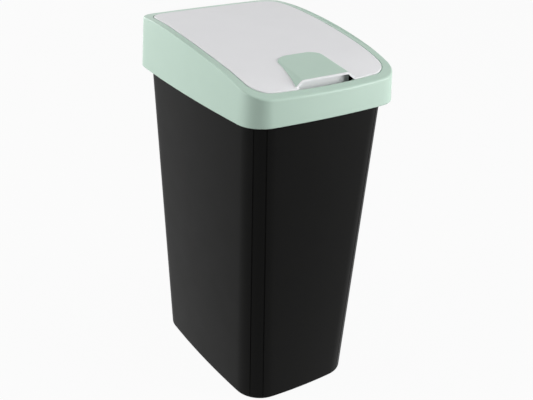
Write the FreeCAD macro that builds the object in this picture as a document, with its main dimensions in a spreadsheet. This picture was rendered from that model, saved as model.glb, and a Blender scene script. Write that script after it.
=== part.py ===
import FreeCAD, Part
import math
import os
import re
import Sketcher
from FreeCAD import Rotation, Vector

# Flip-lid trash can: a tapered bucket, a lid frame that lifts off, a flap hinged in the
# frame and a grip cover on the flap. Millimetres, +Z up, front towards -Y. The origin is
# on the floor, under the middle of the lid frame.

document = FreeCAD.newDocument("FlipLidBin")
sheet = document.addObject("Spreadsheet::Sheet", "Sizes")

# Each row is a name, a value in millimetres or degrees, and what it measures.
SIZES = [
    ("side_taper", 17.9, "how far each long side leans out from floor to rim"),
    ("foot_width", "=mouth_width - 2 * side_taper", "bucket across the long sides, at the floor"),
    ("end_taper", 16.7, "how far each short side leans out from floor to rim"),
    ("foot_depth", "=mouth_depth - 2 * end_taper", "bucket from front to back, at the floor"),
    ("foot_shift", 3.5, "how far the foot lies behind the mouth"),
    ("rim_height", 462.0, "floor to the top of the bucket rim"),
    ("side_inset", 11.7, "long sides of the rim inside the lid frame's edge"),
    ("mouth_width", "=skirt_width - 2 * side_inset", "bucket across the long sides, at the rim"),
    ("end_inset", 10.3, "short sides of the rim inside the lid frame's edge"),
    ("mouth_depth", "=skirt_depth - 2 * end_inset", "bucket from front to back, at the rim"),
    ("bucket_corner", 44.0, "corner radius of the bucket"),
    ("bucket_wall", 1.9, "wall of the bucket"),
    ("floor_thickness", 2.6, "floor of the bucket"),
    ("foot_recess", 2.4, "floor raised inside the standing ring"),
    ("foot_ring", 10.0, "width of the standing ring"),
    ("foot_bevel", 2.0, "bevel of the bottom edge, outside and inside"),
    ("flange_thickness", 2.2, "flat flange round the rim"),
    ("flange_skirt", 9.0, "turned-down edge of the flange"),
    ("flange_skirt_wall", 1.8, "wall of the turned-down edge"),
    ("lid_clearance", 0.8, "gap between rim flange and lid frame"),
    ("skirt_drop", 22.0, "lower edge of the lid frame below the rim"),
    ("skirt_foot", "=rim_height - skirt_drop", "floor to the lower edge of the lid frame"),
    ("skirt_width", 243.6, "lid frame across the long sides, at its lower edge"),
    ("skirt_depth", 330.0, "lid frame from front to back, at its lower edge"),
    ("skirt_corner", 35.0, "corner radius of the lid frame"),
    ("skirt_side_bow", 3.9, "bulge of the frame's long sides"),
    ("skirt_end_bow", 3.3, "bulge of the frame's short sides"),
    ("skirt_draft", 2.95, "angle of the skirt from upright"),
    ("frame_wall", 2.4, "wall of skirt and land"),
    ("crown_rise", 51.8, "highest line of the arched frame above the rim"),
    ("crown_top", "=rim_height + crown_rise", "floor to the highest line of the arched frame"),
    ("apex_inset", 71.6, "highest line before the back of the lid frame"),
    ("crown_apex", "=skirt_depth / 2 - apex_inset", "how far the highest line lies behind the middle"),
    ("rear_crown_radius", "=skirt_depth * 15 / 11", "arch over the back"),
    ("middle_crown_radius", "=skirt_depth * 50 / 11", "arch over the middle"),
    ("front_crown_radius", "=skirt_depth * 38 / 33", "arch over the front"),
    ("rear_crown_angle", 2.9, "slope where back and middle arch meet"),
    ("middle_crown_angle", 8.6, "slope where middle and front arch meet"),
    ("crown_bevel", 1.6, "bevel between skirt and land"),
    ("riser_wall", 2.2, "wall round the flap's rebate"),
    ("ledge_width", 5.0, "ledge that the flap closes on"),
    ("ledge_thickness", 2.2, "thickness of that ledge"),
    ("collar_reach", 12.0, "how deep the collar plugs into the mouth"),
    ("seat_rib", 2.0, "ribs that stand on the bucket rim"),
    ("side_land", 14.6, "lid frame's edge to the flap, at the long sides"),
    ("front_land", 14.0, "lid frame's edge to the flap, at the front"),
    ("rear_land", 20.0, "lid frame's edge to the flap, at the back"),
    ("flap_width", "=skirt_width - 2 * side_land", "flap across"),
    ("flap_length", "=skirt_depth - front_land - rear_land", "flap from front to back"),
    ("flap_advance", "=( rear_land - front_land ) / 2", "flap's middle in front of the origin"),
    ("flap_corner", 28.0, "corner radius of the flap"),
    ("flap_side_bow", 3.2, "bulge of the flap's long sides"),
    ("flap_end_bow", 3.0, "bulge of the flap's short sides"),
    ("flap_gap", 1.4, "gap all round the flap"),
    ("flap_proud", 0.9, "flap's top above the frame's land"),
    ("flap_thickness", 2.2, "panel of the flap"),
    ("flap_bevel", 0.7, "bevel of the flap's top edge"),
    ("flap_rim", 2.0, "wall of the flap's turned-down rim"),
    ("flap_drop", 2.2, "rim of the flap below the frame's land"),
    ("rest_gap", 0.3, "gap between flap rim and ledge"),
    ("flap_rib", 1.6, "ribs under the flap"),
    ("flap_rib_depth", 4.0, "depth of those ribs"),
    ("rib_spread", 48.0, "long ribs from the middle of the flap"),
    ("tail_length", 37.5, "flap behind its hinge axis"),
    ("hinge_place", "=flap_length / 2 - flap_advance - tail_length", "hinge axis behind the middle"),
    ("hinge_depth", 9.5, "hinge axis below the top of the flap"),
    ("pin_radius", 2.5, "trunnion pin"),
    ("pin_clearance", 0.08, "radial running clearance of the pin"),
    ("pin_end_gap", 0.6, "gap at the end of the pin"),
    ("bore_depth", 5.2, "blind bore of the hinge boss"),
    ("boss_radius", 4.8, "hinge boss in the frame"),
    ("boss_length", 4.0, "boss in front of the riser"),
    ("ear_radius", 5.0, "rounded lower end of the hinge ear"),
    ("ear_thickness", 2.4, "hinge ear"),
    ("ear_gap", 0.5, "gap between ear and boss"),
    ("heel_reach", 13.0, "stop heel behind the hinge axis"),
    ("open_angle", 100.0, "angle at which the heel meets its stop"),
    ("stop_gap", 0.4, "gap left at the stop when open"),
    ("stop_width", 9.0, "stop across, from the riser inwards"),
    ("stop_drop", 8.0, "top of the stop below the hinge axis"),
    ("stop_thickness", 2.4, "thickness of the stop"),
    ("swing_gap", 1.0, "gap under the flap's tail as it swings"),
    ("lip_setback", 3.0, "front of the grip behind the front of the flap"),
    ("lip_place", "=flap_length / 2 + flap_advance - lip_setback", "front of the grip before the middle"),
    ("lip_rise", 8.51, "top of the grip's lip above the frame's land"),
    ("lip_half", 36.0, "half width of the grip's top at the lip"),
    ("lip_band", 1.6, "bare lip in front of the cover"),
    ("ramp_angle", 8.55, "slope of the grip's top"),
    ("ramp_spread", 1.7, "angle at which the grip widens to the front"),
    ("flank_angle", 40.0, "slope of the grip's flanks"),
    ("grip_rounding", 6.0, "rounding between the grip's top and flanks"),
    ("grip_wall", 1.3, "white wall of the grip"),
    ("cover_thickness", 1.2, "grip cover"),
    ("cover_clearance", 0.12, "gap between cover and flap"),
    ("cover_length", 69.0, "cover from the lip to its back edge"),
    ("cover_back", "=lip_place - cover_length", "back edge of the cover before the middle"),
    ("cover_corner", 14.0, "back corners of the cover in plan"),
    ("cover_side", 50.0, "half width of the cover's blank at the front"),
    ("cover_spread", 14.0, "angle at which that blank widens to the front"),
    ("pocket_setback", 8.0, "pocket wall behind the lip"),
    ("pocket_half", 38.5, "half width of the pocket wall"),
    ("pocket_depth", 22.0, "lower edge of the pocket wall below the lip"),
    ("pocket_rounding", 5.0, "lower corners of the pocket wall"),
    ("relief_half", 42.0, "half width of the finger relief in the frame"),
    ("relief_depth", 19.0, "floor of the finger relief below the lip"),
    ("overrun", 6.0, "how far a cutting shape passes the stock"),
]

# Places of the ribs that stand on the bucket rim, as shares of the frame's half depth
# and half width.
SIDE_RIB_SHARES = (-0.62, -0.24, 0.14, 0.5)
END_RIB_SHARES = (-0.5, 0.0, 0.5)

for row, (name, value, note) in enumerate(SIZES, start=1):
    sheet.set(f"A{row}", name)
    sheet.set(f"B{row}", str(value))
    sheet.set(f"C{row}", note)
    sheet.setAlias(f"B{row}", name)
document.recompute()

NAMES = {name for name, value, note in SIZES}
# Two points closer than this count as one place.
TOUCH = 0.01
FLAT = Rotation(Vector(0, 0, 1), 0)
FACING_FRONT = Rotation(Vector(1, 0, 0), 90)
FACING_SIDE = Rotation(Vector(1, 1, 1), 120)


def formula(text):
    """Turn a sum written with size names into an expression that reads the sheet."""
    def cell(word):
        return "Sizes." + word.group() if word.group() in NAMES else word.group()
    return re.sub("[a-z_]+", cell, text)


def measure(text):
    """Work out a sum of sizes as a number."""
    return float(sheet.evalExpression(formula(text)))


def bind(item, target, text):
    """Tie one property of an object to a sum of sizes."""
    item.setExpression(target, formula(text))


def constrain(sketch, kind, *what):
    """Add a constraint whose last value is a sum of sizes."""
    text = what[-1]
    number = sketch.addConstraint(Sketcher.Constraint(kind, *what[:-1], measure(text)))
    bind(sketch, f"Constraints[{number}]", text)


def arc(centre, radius, start, end):
    """An arc of a circle in a sketch, between two angles in radians."""
    circle = Part.Circle(Vector(centre[0], centre[1], 0), Vector(0, 0, 1), radius)
    return Part.ArcOfCircle(circle, start, end)


def line(start, end):
    """A straight edge in a sketch."""
    return Part.LineSegment(Vector(start[0], start[1], 0), Vector(end[0], end[1], 0))


def new_sketch(name, rotation, axis, place):
    """A sketch on a plane square to one axis, at a place that sizes give."""
    sketch = document.addObject("Sketcher::SketchObject", name)
    sketch.Placement = FreeCAD.Placement(Vector(0, 0, 0), rotation)
    bind(sketch, f"Placement.Base.{axis}", place)
    return sketch


# A plan outline is a rectangle with round corners whose sides bulge a little. All eight
# edges are arcs that meet smoothly, so an inset of it is the same kind of outline.

def plan(width, depth, corner, side_bow, end_bow, shift="0"):
    """The sizes of a plan outline, as sums."""
    return {
        "half_width": f"( {width} / 2 )",
        "half_depth": f"( {depth} / 2 )",
        "corner": f"( {corner} )",
        "side_bow": side_bow,
        "end_bow": end_bow,
        "shift": shift,
    }


def inset(shape, amount):
    """The same outline, moved inwards all round."""
    smaller = dict(shape)
    for key in ("half_width", "half_depth", "corner"):
        smaller[key] = f"( {shape[key]} - ( {amount} ) )"
    return smaller


def draw_plan(name, shape, height):
    """A sketch of one plan outline at a height."""
    sketch = new_sketch(name, FLAT, "z", height)
    corner = shape["corner"]
    across = f"( {shape['half_width']} - {shape['side_bow']} - {corner} )"
    along = f"( {shape['half_depth']} - {shape['end_bow']} - {corner} )"
    side = (f"( ( ( {shape['side_bow']} + {corner} ) ^ 2 + {along} ^ 2 - {corner} ^ 2 )"
            f" / ( 2 * {shape['side_bow']} ) )")
    end = (f"( ( ( {shape['end_bow']} + {corner} ) ^ 2 + {across} ^ 2 - {corner} ^ 2 )"
           f" / ( 2 * {shape['end_bow']} ) )")
    x, y, r = measure(across), measure(along), measure(corner)
    shift = measure(shape["shift"])
    side_radius, end_radius = measure(side), measure(end)
    side_centre = measure(shape["half_width"]) - side_radius
    end_centre = measure(shape["half_depth"]) - end_radius
    side_turn = math.atan2(y, x - side_centre)
    end_turn = math.atan2(x, y - end_centre)
    quarter = math.pi / 2
    spans = [
        ((side_centre, 0), side_radius, -side_turn, side_turn),
        ((x, y), r, side_turn, quarter - end_turn),
        ((0, end_centre), end_radius, quarter - end_turn, quarter + end_turn),
        ((-x, y), r, quarter + end_turn, 2 * quarter - side_turn),
        ((-side_centre, 0), side_radius, 2 * quarter - side_turn, 2 * quarter + side_turn),
        ((-x, -y), r, 2 * quarter + side_turn, 3 * quarter - end_turn),
        ((0, -end_centre), end_radius, 3 * quarter - end_turn, 3 * quarter + end_turn),
        ((x, -y), r, 3 * quarter + end_turn, 4 * quarter - side_turn),
    ]
    edges = []
    for centre, radius, start, stop in spans:
        moved = (centre[0], centre[1] + shift)
        edges.append(sketch.addGeometry(arc(moved, radius, start, stop), False))
    for first, second in zip(edges, edges[1:] + edges[:1]):
        sketch.addConstraint(Sketcher.Constraint("Tangent", first, 2, second, 1))
    for edge in (edges[3], edges[5], edges[7]):
        sketch.addConstraint(Sketcher.Constraint("Equal", edges[1], edge))
    constrain(sketch, "Radius", edges[1], corner)
    for number, right, rear in ((1, True, True), (3, False, True), (5, False, False), (7, True, False)):
        centre, origin = (edges[number], 3), (-1, 1)
        ends = (*origin, *centre) if right else (*centre, *origin)
        constrain(sketch, "DistanceX", *ends, across)
        ends = (*origin, *centre) if rear else (*centre, *origin)
        sign = "+" if rear else "-"
        constrain(sketch, "DistanceY", *ends, f"{along} {sign} ( {shape['shift']} )")
    sketch.addConstraint(Sketcher.Constraint("Equal", edges[0], edges[4]))
    sketch.addConstraint(Sketcher.Constraint("Equal", edges[2], edges[6]))
    constrain(sketch, "Radius", edges[0], side)
    constrain(sketch, "Radius", edges[2], end)
    return sketch


def column(name, shape, low, high):
    """An upright solid over a plan outline, between two heights."""
    solid = document.addObject("Part::Extrusion", name)
    solid.Base = draw_plan(name + "_plan", shape, low)
    solid.DirMode = "Normal"
    solid.Solid = True
    bind(solid, "LengthFwd", f"( {high} ) - ( {low} )")
    return solid


def cut(name, base, tool):
    """Take one solid out of another."""
    result = document.addObject("Part::Cut", name)
    result.Base = base
    result.Tool = tool
    return result


def common(name, *solids):
    """What several solids share."""
    result = document.addObject("Part::MultiCommon", name)
    result.Shapes = list(solids)
    return result


def fuse(name, *solids):
    """Several solids made one."""
    result = document.addObject("Part::MultiFuse", name)
    result.Shapes = list(solids)
    return result


def block(name, left, right, front, back, low, high):
    """A box between six places."""
    box = document.addObject("Part::Box", name)
    bind(box, "Placement.Base.x", left)
    bind(box, "Placement.Base.y", front)
    bind(box, "Placement.Base.z", low)
    bind(box, "Length", f"( {right} ) - ( {left} )")
    bind(box, "Width", f"( {back} ) - ( {front} )")
    bind(box, "Height", f"( {high} ) - ( {low} )")
    return box


def mirror(name, solid):
    """The same solid on the other side of the middle plane."""
    copy = document.addObject("Part::Mirroring", name)
    copy.Source = solid
    copy.Normal = Vector(1, 0, 0)
    return copy


# The arch of the lid, seen from the side, is three arcs that meet smoothly. The two
# inner ends of the arcs have the slopes that the sheet names.

REAR_CENTRE = ("crown_apex", "( crown_top - rear_crown_radius )")
MIDDLE_CENTRE = (
    "( crown_apex + ( middle_crown_radius - rear_crown_radius ) * sin( rear_crown_angle ) )",
    "( crown_top - rear_crown_radius"
    " - ( middle_crown_radius - rear_crown_radius ) * cos( rear_crown_angle ) )",
)
FRONT_CENTRE = (
    f"( {MIDDLE_CENTRE[0]}"
    " - ( middle_crown_radius - front_crown_radius ) * sin( middle_crown_angle ) )",
    f"( {MIDDLE_CENTRE[1]}"
    " + ( middle_crown_radius - front_crown_radius ) * cos( middle_crown_angle ) )",
)
LIP_HEIGHT = (
    f"( {FRONT_CENTRE[1]}"
    f" + sqrt( front_crown_radius ^ 2 - ( lip_place + {FRONT_CENTRE[0]} ) ^ 2 ) + lip_rise )"
)
REACH = "( skirt_depth / 2 + overrun )"
FLOOR = "( skirt_foot - 2 * overrun )"
CEILING = "( crown_top + 4 * overrun )"


def crown_height(place, rise="0"):
    """The height of the arch over a place, as a number, raised by a sum of sizes."""
    rear_limit = measure("crown_apex - rear_crown_radius * sin( rear_crown_angle )")
    front_limit = measure(f"{MIDDLE_CENTRE[0]} - middle_crown_radius * sin( middle_crown_angle )")
    if place > rear_limit:
        centre, radius = REAR_CENTRE, "rear_crown_radius"
    elif place > front_limit:
        centre, radius = MIDDLE_CENTRE, "middle_crown_radius"
    else:
        centre, radius = FRONT_CENTRE, "front_crown_radius"
    reach = measure(f"{radius} + {rise}")
    return measure(centre[1]) + math.sqrt(reach ** 2 - (place - measure(centre[0])) ** 2)


def under_crown(name, rise):
    """The space below the arch, with the arch raised or lowered by a sum of sizes."""
    sketch = new_sketch(name + "_side", FACING_SIDE, "x", "0")
    parts = []
    for centre, radius in ((FRONT_CENTRE, "front_crown_radius"),
                           (MIDDLE_CENTRE, "middle_crown_radius"),
                           (REAR_CENTRE, "rear_crown_radius")):
        parts.append((centre, f"( {radius} + ( {rise} ) )"))
    numbers = [((measure(c[0]), measure(c[1])), measure(r)) for c, r in parts]
    reach, floor = measure(REACH), measure(FLOOR)
    upright = math.pi / 2
    turns = [
        math.acos((-reach - numbers[0][0][0]) / numbers[0][1]),
        upright + math.radians(measure("middle_crown_angle")),
        upright + math.radians(measure("rear_crown_angle")),
        math.acos((reach - numbers[2][0][0]) / numbers[2][1]),
    ]
    edges = []
    for (centre, radius), start, stop in zip(numbers, turns[1:], turns[:-1]):
        edges.append(sketch.addGeometry(arc(centre, radius, start, stop), False))
    front = (-reach, numbers[0][0][1] + numbers[0][1] * math.sin(turns[0]))
    rear = (reach, numbers[2][0][1] + numbers[2][1] * math.sin(turns[3]))
    down = sketch.addGeometry(line(rear, (reach, floor)), False)
    along = sketch.addGeometry(line((reach, floor), (-reach, floor)), False)
    up = sketch.addGeometry(line((-reach, floor), front), False)
    joints = [
        ("Tangent", edges[0], 1, edges[1], 2),
        ("Tangent", edges[1], 1, edges[2], 2),
        ("Coincident", edges[2], 1, down, 1),
        ("Coincident", down, 2, along, 1),
        ("Coincident", along, 2, up, 1),
        ("Coincident", up, 2, edges[0], 2),
        ("Vertical", down),
        ("Vertical", up),
        ("Horizontal", along),
    ]
    for joint in joints:
        sketch.addConstraint(Sketcher.Constraint(*joint))
    for edge, (centre, radius) in zip(edges, parts):
        constrain(sketch, "DistanceX", -1, 1, edge, 3, centre[0])
        constrain(sketch, "Radius", edge, radius)
    constrain(sketch, "DistanceY", -1, 1, edges[1], 3, MIDDLE_CENTRE[1])
    constrain(sketch, "DistanceX", -1, 1, down, 2, REACH)
    constrain(sketch, "DistanceX", along, 2, -1, 1, REACH)
    constrain(sketch, "DistanceY", -1, 1, along, 1, FLOOR)
    solid = document.addObject("Part::Extrusion", name)
    solid.Base = sketch
    solid.DirMode = "Normal"
    solid.Solid = True
    solid.Symmetric = True
    bind(solid, "LengthFwd", "skirt_width + 2 * overrun")
    return solid


def loft(name, first, last):
    """A straight-ruled solid between two sketches."""
    solid = document.addObject("Part::Loft", name)
    solid.Sections = [first, last]
    solid.Solid = True
    solid.Ruled = True
    return solid


def tapered(name, shape, low, high):
    """A solid over a plan outline that leans in like the skirt, between two heights."""
    ends = []
    for end, height in (("low", low), ("high", high)):
        lean = f"( {height} - skirt_foot ) * tan( skirt_draft )"
        ends.append(draw_plan(f"{name}_{end}", inset(shape, lean), height))
    return loft(name, *ends)


def treat_edges(kind, name, solid, size, chosen):
    """Round or bevel the edges that pass a test of their two ends and their middle."""
    document.recompute()
    picked = []
    for number, edge in enumerate(solid.Shape.Edges, start=1):
        first, last = edge.ParameterRange
        points = [edge.valueAt(place) for place in (first, (first + last) / 2, last)]
        if chosen(points):
            picked.append((number, measure(size), measure(size)))
    result = document.addObject(f"Part::{kind}", name)
    result.Base = solid
    result.Edges = picked
    return result


def goes_along(points):
    """True for an edge that doesn't run straight across the lid."""
    return abs(points[0].y - points[-1].y) > TOUCH


def lies_at(height):
    """A test for edges at one height."""
    level = measure(height)
    return lambda points: all(abs(point.z - level) < TOUCH for point in points)


def lies_on_crown(rise="0"):
    """A test for the edges round the arch, raised by a sum of sizes."""
    return lambda points: goes_along(points) and all(
        abs(point.z - crown_height(point.y, rise)) < TOUCH for point in points)


SKIRT = plan("skirt_width", "skirt_depth", "skirt_corner", "skirt_side_bow", "skirt_end_bow")
FLAP = plan("flap_width", "flap_length", "flap_corner", "flap_side_bow", "flap_end_bow",
            "( 0 - flap_advance )")
FLANGE = inset(SKIRT, "( rim_height - skirt_foot ) * tan( skirt_draft ) + frame_wall + lid_clearance")
REBATE = inset(FLAP, "0 - flap_gap")
THROAT = inset(FLAP, "ledge_width - flap_gap")

HINGE_HEIGHT = "( crown_top + flap_proud - hinge_depth )"
TAIL = "( flap_length / 2 - flap_advance - hinge_place )"
CHAMBER_FLOOR = f"( {HINGE_HEIGHT} - sqrt( {TAIL} ^ 2 + hinge_depth ^ 2 ) - swing_gap )"
STOP_PLACE = "( hinge_place - ear_radius - stop_gap )"
RISER_FACE = "( flap_width / 2 - flap_side_bow + flap_gap )"
BOSS_FACE = f"( {RISER_FACE} - boss_length )"
EAR_FACE = f"( {BOSS_FACE} - ear_gap )"
LEDGE_DROP = "( flap_drop + rest_gap )"
POCKET_PLACE = "( pocket_setback - lip_place )"
RELIEF_FLOOR = f"( {LIP_HEIGHT} - relief_depth )"
COLLAR_FOOT = "( rim_height - collar_reach )"


# Bucket: one moulded piece with a flange round its mouth and a ring to stand on.

def bucket_form(name, depth, low, high):
    """The bucket's tapered form with round corners, moved in by a depth, between two heights."""
    wedge = document.addObject("Part::Wedge", name + "_wedge")
    wedge.Placement = FreeCAD.Placement(Vector(0, 0, 0), FACING_FRONT)
    bind(wedge, "Ymin", low)
    bind(wedge, "Ymax", high)
    for number, height in (("", low), ("2", high)):
        share = f"( ( {height} ) / rim_height )"
        half_width = f"( ( foot_width + ( mouth_width - foot_width ) * {share} ) / 2 - ( {depth} ) )"
        half_depth = f"( ( foot_depth + ( mouth_depth - foot_depth ) * {share} ) / 2 - ( {depth} ) )"
        shift = f"( foot_shift * ( 1 - {share} ) )"
        bind(wedge, f"X{number}min", f"0 - {half_width}")
        bind(wedge, f"X{number}max", half_width)
        bind(wedge, f"Z{number}min", f"0 - {shift} - {half_depth}")
        bind(wedge, f"Z{number}max", f"{half_depth} - {shift}")
    corners = treat_edges("Fillet", name + "_corners", wedge, f"bucket_corner - ( {depth} )",
                          lambda points: abs(points[0].z - points[-1].z) > TOUCH)
    return treat_edges("Chamfer", name, corners, "foot_bevel", lies_at(low))


def make_bucket():
    outside = bucket_form("bucket_outside", "0", "0", "rim_height")
    inside = bucket_form("bucket_inside", "bucket_wall", "foot_recess + floor_thickness",
                         "rim_height + overrun")
    flange = column("flange", FLANGE, "rim_height - flange_thickness", "rim_height")
    edge = cut("flange_edge", column("flange_edge_stock", FLANGE, "rim_height - flange_skirt", "rim_height"),
               column("flange_edge_room", inset(FLANGE, "flange_skirt_wall"),
                      "rim_height - flange_skirt - overrun", "rim_height + overrun"))
    half_width, half_depth = "foot_width / 2 - foot_ring", "foot_depth / 2 - foot_ring"
    recess = block("recess_box", f"0 - ( {half_width} )", half_width, f"foot_shift - ( {half_depth} )",
                   f"foot_shift + {half_depth}", "0 - overrun", "foot_recess")
    recess = treat_edges("Fillet", "foot_recess_form", recess, "bucket_corner - foot_ring",
                         lambda points: abs(points[0].z - points[-1].z) > TOUCH)
    stock = fuse("bucket_stock", outside, flange, edge)
    bucket = cut("bucket", stock, fuse("bucket_wells", inside, recess))
    bucket.Label = "bucket"
    return bucket


# Lid frame: skirt and land are one shell under the arch. A rebate with a ledge takes
# the flap, a collar plugs into the bucket, and ribs stand on the bucket's rim.

def make_shell():
    blank = tapered("frame_blank", SKIRT, "skirt_foot", "( crown_top + overrun )")
    outside = common("frame_outside", blank, under_crown("land_arch", "0"))
    top = treat_edges("Chamfer", "frame_bevelled", outside, "crown_bevel", lies_on_crown())
    inner = tapered("frame_inner_blank", inset(SKIRT, "frame_wall"), "( skirt_foot - overrun )",
                    "( crown_top + overrun )")
    hollow = common("frame_hollow", inner, under_crown("land_underside", "0 - frame_wall"))
    return cut("frame_shell", top, hollow)


def make_wells():
    """What the frame leaves open inside: throat, rebate, tail chamber and finger relief."""
    throat = column("throat_well", THROAT, f"( {COLLAR_FOOT} - overrun )", CEILING)
    rebate = cut("rebate_well", column("rebate_column", REBATE, FLOOR, CEILING),
                 under_crown("ledge_arch", f"0 - {LEDGE_DROP}"))
    chamber = common("chamber_well", column("chamber_column", REBATE, CHAMBER_FLOOR, CEILING),
                     block("chamber_box", "0 - skirt_width / 2", "skirt_width / 2", STOP_PLACE,
                           "skirt_depth / 2", FLOOR, CEILING))
    relief = common("relief_well", column("relief_column", REBATE, RELIEF_FLOOR, CEILING),
                    block("relief_box", "0 - relief_half", "relief_half", "0 - skirt_depth / 2",
                          POCKET_PLACE, FLOOR, CEILING))
    return fuse("frame_wells", throat, rebate, chamber, relief)


def make_linings():
    """The walls round those openings, solid until the wells are cut."""
    arch = under_crown("lining_arch", "0 - frame_wall / 2")
    wall = "riser_wall"
    riser = inset(REBATE, f"0 - {wall}")
    ledge = cut("ledge_stock", column("ledge_column", riser, FLOOR, CEILING),
                under_crown("ledge_underside", f"0 - {LEDGE_DROP} - ledge_thickness"))
    collar = column("collar_stock", inset(THROAT, f"0 - {wall}"), COLLAR_FOOT, CEILING)
    chamber = common("chamber_stock",
                     column("chamber_stock_column", riser, f"{CHAMBER_FLOOR} - {wall}", CEILING),
                     block("chamber_stock_box", "0 - skirt_width / 2", "skirt_width / 2",
                           f"{STOP_PLACE} - stop_thickness", "skirt_depth / 2", FLOOR, CEILING))
    relief = common("relief_stock",
                    column("relief_stock_column", riser, f"{RELIEF_FLOOR} - {wall}", CEILING),
                    block("relief_stock_box", f"0 - relief_half - {wall}", f"relief_half + {wall}",
                          "0 - skirt_depth / 2", POCKET_PLACE, FLOOR, CEILING))
    linings = common("linings", fuse("lining_stock", ledge, collar, chamber, relief), arch)
    ribs = []
    for number, share in enumerate(SIDE_RIB_SHARES, start=1):
        place = f"{share} * skirt_depth / 2"
        ribs.append(block(f"side_rib_{number}", "0 - skirt_width / 2", "skirt_width / 2",
                          f"{place} - seat_rib / 2", f"{place} + seat_rib / 2", "rim_height", CEILING))
    for number, share in enumerate(END_RIB_SHARES, start=1):
        place = f"{share} * skirt_width / 2"
        ribs.append(block(f"end_rib_{number}", f"{place} - seat_rib / 2", f"{place} + seat_rib / 2",
                          "0 - skirt_depth / 2", "skirt_depth / 2", "rim_height", CEILING))
    roomy = tapered("rib_room_blank", inset(SKIRT, "frame_wall / 2"), "( skirt_foot - overrun )",
                    "( crown_top + overrun )")
    return linings, common("seat_ribs", fuse("rib_stock", *ribs), common("rib_room", roomy, arch))


def axle(name, radius, left, right):
    """A round solid on the hinge axis between two places across the lid."""
    rod = document.addObject("Part::Cylinder", name)
    rod.Placement = FreeCAD.Placement(Vector(0, 0, 0), Rotation(Vector(0, 1, 0), 90))
    bind(rod, "Placement.Base.x", left)
    bind(rod, "Placement.Base.y", "hinge_place")
    bind(rod, "Placement.Base.z", HINGE_HEIGHT)
    bind(rod, "Radius", radius)
    bind(rod, "Height", f"( {right} ) - ( {left} )")
    return rod


def make_lid_frame():
    linings, ribs = make_linings()
    opened = cut("frame_opened", fuse("frame_stock", make_shell(), linings, ribs), make_wells())
    boss = axle("boss_right", "boss_radius", BOSS_FACE, f"{RISER_FACE} + riser_wall")
    stop = block("stop_right", f"{RISER_FACE} - stop_width", f"{RISER_FACE} + riser_wall / 2",
                 f"{STOP_PLACE} - stop_thickness", STOP_PLACE, f"{CHAMBER_FLOOR} - riser_wall",
                 f"{HINGE_HEIGHT} - stop_drop")
    bore = axle("bore_right", "pin_radius + pin_clearance", f"{BOSS_FACE} - overrun",
                f"{BOSS_FACE} + bore_depth")
    whole = fuse("frame_whole", opened, boss, mirror("boss_left", boss), stop, mirror("stop_left", stop))
    frame = cut("lid_frame", whole, fuse("hinge_bores", bore, mirror("bore_left", bore)))
    frame.Label = "lid_frame"
    return frame


# Grip: a ramp on the flap with sloping flanks. Its section grows with the distance from
# the back, and every inner surface is the same form, a wall's thickness further in.

def draw_grip_section(name, place, depth):
    """The section across the grip at a place, moved in by a depth."""
    sketch = new_sketch(name, FACING_FRONT, "y", place)
    forward = f"( 0 - lip_place - ( {place} ) )"
    top = f"( {LIP_HEIGHT} - {forward} * tan( ramp_angle ) - ( {depth} ) )"
    half = (f"( lip_half + {forward} * tan( ramp_spread )"
            f" - ( {depth} ) * tan( flank_angle / 2 ) )")
    base = f"( {LIP_HEIGHT} - pocket_depth - overrun )"
    foot = f"( {half} + ( {top} - {base} ) / tan( flank_angle ) )"
    radius = f"( grip_rounding - ( {depth} ) )"
    z, a, b, f, r = (measure(text) for text in (top, half, base, foot, radius))
    slope = math.radians(measure("flank_angle"))
    shoulder = a - r * math.tan(slope / 2)
    upright = math.pi / 2
    bend = (shoulder + r * math.sin(slope), z - r + r * math.cos(slope))
    left_bend = (-bend[0], bend[1])
    parts = [
        line((-f, b), (f, b)),
        line((f, b), bend),
        arc((shoulder, z - r), r, upright - slope, upright),
        line((shoulder, z), (-shoulder, z)),
        arc((-shoulder, z - r), r, upright, upright + slope),
        line(left_bend, (-f, b)),
    ]
    bottom, right, right_arc, flat, left_arc, left = (sketch.addGeometry(p, False) for p in parts)
    joints = [
        ("Coincident", bottom, 2, right, 1),
        ("Tangent", right, 2, right_arc, 1),
        ("Tangent", right_arc, 2, flat, 1),
        ("Tangent", flat, 2, left_arc, 1),
        ("Tangent", left_arc, 2, left, 1),
        ("Coincident", left, 2, bottom, 1),
        ("Horizontal", bottom),
        ("Horizontal", flat),
        ("Equal", right_arc, left_arc),
    ]
    for joint in joints:
        sketch.addConstraint(Sketcher.Constraint(*joint))
    constrain(sketch, "DistanceY", -1, 1, bottom, 1, base)
    constrain(sketch, "DistanceY", -1, 1, flat, 1, top)
    constrain(sketch, "DistanceX", -1, 1, bottom, 2, foot)
    constrain(sketch, "DistanceX", bottom, 1, -1, 1, foot)
    constrain(sketch, "Radius", right_arc, radius)
    constrain(sketch, "DistanceX", -1, 1, right_arc, 3, f"{half} - {radius} * tan( flank_angle / 2 )")
    constrain(sketch, "DistanceX", left_arc, 3, -1, 1, f"{half} - {radius} * tan( flank_angle / 2 )")
    return sketch


def grip_form(name, depth, front="( 0 - lip_place )"):
    """The grip's ramp, moved in by a depth."""
    back = "( overrun - cover_back )"
    return loft(name, draw_grip_section(name + "_front", front, depth),
                draw_grip_section(name + "_back", back, depth))


# Flap: a panel that follows the arch, with a turned-down rim, hinge ears with their
# pins, a stop heel behind each pin and the grip with its pocket wall at the front.

def make_panel():
    stock = common("panel_stock", column("panel_column", FLAP, FLOOR, CEILING),
                   under_crown("panel_arch", "flap_proud"))
    slab = cut("panel_slab", stock, under_crown("rim_arch", "0 - flap_drop"))
    top = treat_edges("Chamfer", "panel_bevelled", slab, "flap_bevel", lies_on_crown("flap_proud"))
    under = common("panel_under", column("panel_under_column", inset(FLAP, "flap_rim"), FLOOR, CEILING),
                   under_crown("panel_underside", "flap_proud - flap_thickness"))
    return cut("panel", top, under)


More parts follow.
